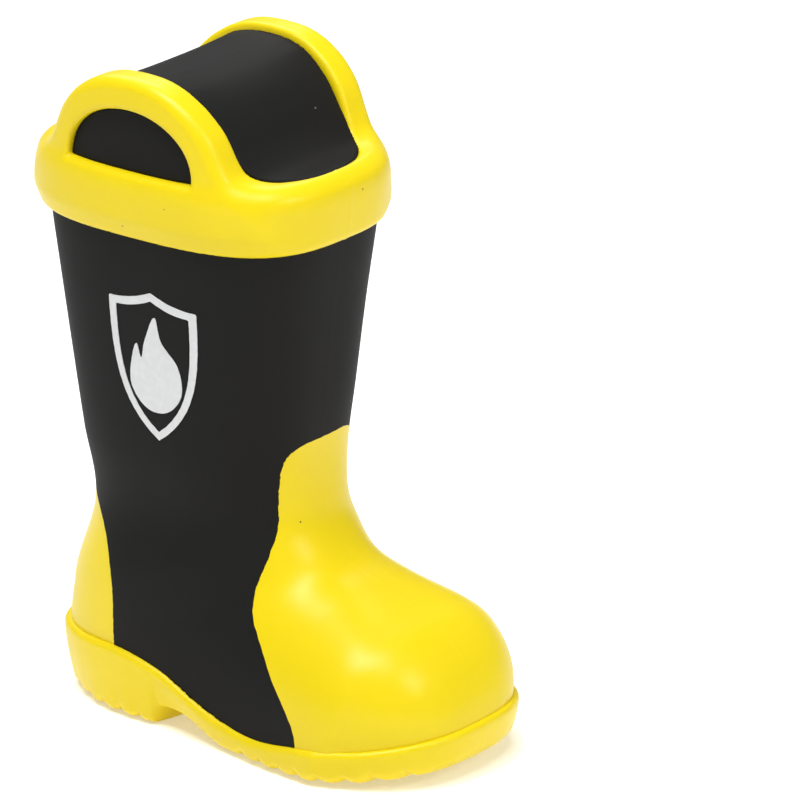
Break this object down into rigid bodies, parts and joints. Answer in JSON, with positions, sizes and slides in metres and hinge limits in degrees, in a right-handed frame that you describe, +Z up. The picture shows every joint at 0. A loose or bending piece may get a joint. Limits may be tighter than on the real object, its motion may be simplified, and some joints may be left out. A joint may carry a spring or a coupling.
{
  "type": "fire boot squeeze toy",
  "caption": "Palm-size soft foam fire boot with a cleated sole, rounded toe cap, heel counter and a looped collar.",
  "frame": {"origin": "on the ground under the middle of the boot's bounding box", "axes": "+Z up the leg, -Y towards the toe, +Y towards the heel, +X the boot's left flank; the print is on the right flank"},
  "size_m": [0.044, 0.0826, 0.11],
  "materials": {
    "raw_foam": "matte",
    "black_foam": "matte",
    "yellow_foam": "satin",
    "yellow_sole": "satin",
    "white_print": "matte"
  },
  "bodies": {
    "root": {"foam_core": "raw_foam", "shaft_skin": "black_foam", "toe_cap": "yellow_foam", "heel_counter": "yellow_foam", "outsole": "yellow_sole", "collar_with_handles": "yellow_foam", "mouth_cover": "black_foam", "window_panel_left": "black_foam", "window_panel_right": "black_foam", "print_badge_ring": "white_print", "print_flame": "white_print"}
  },
  "joints": []
}
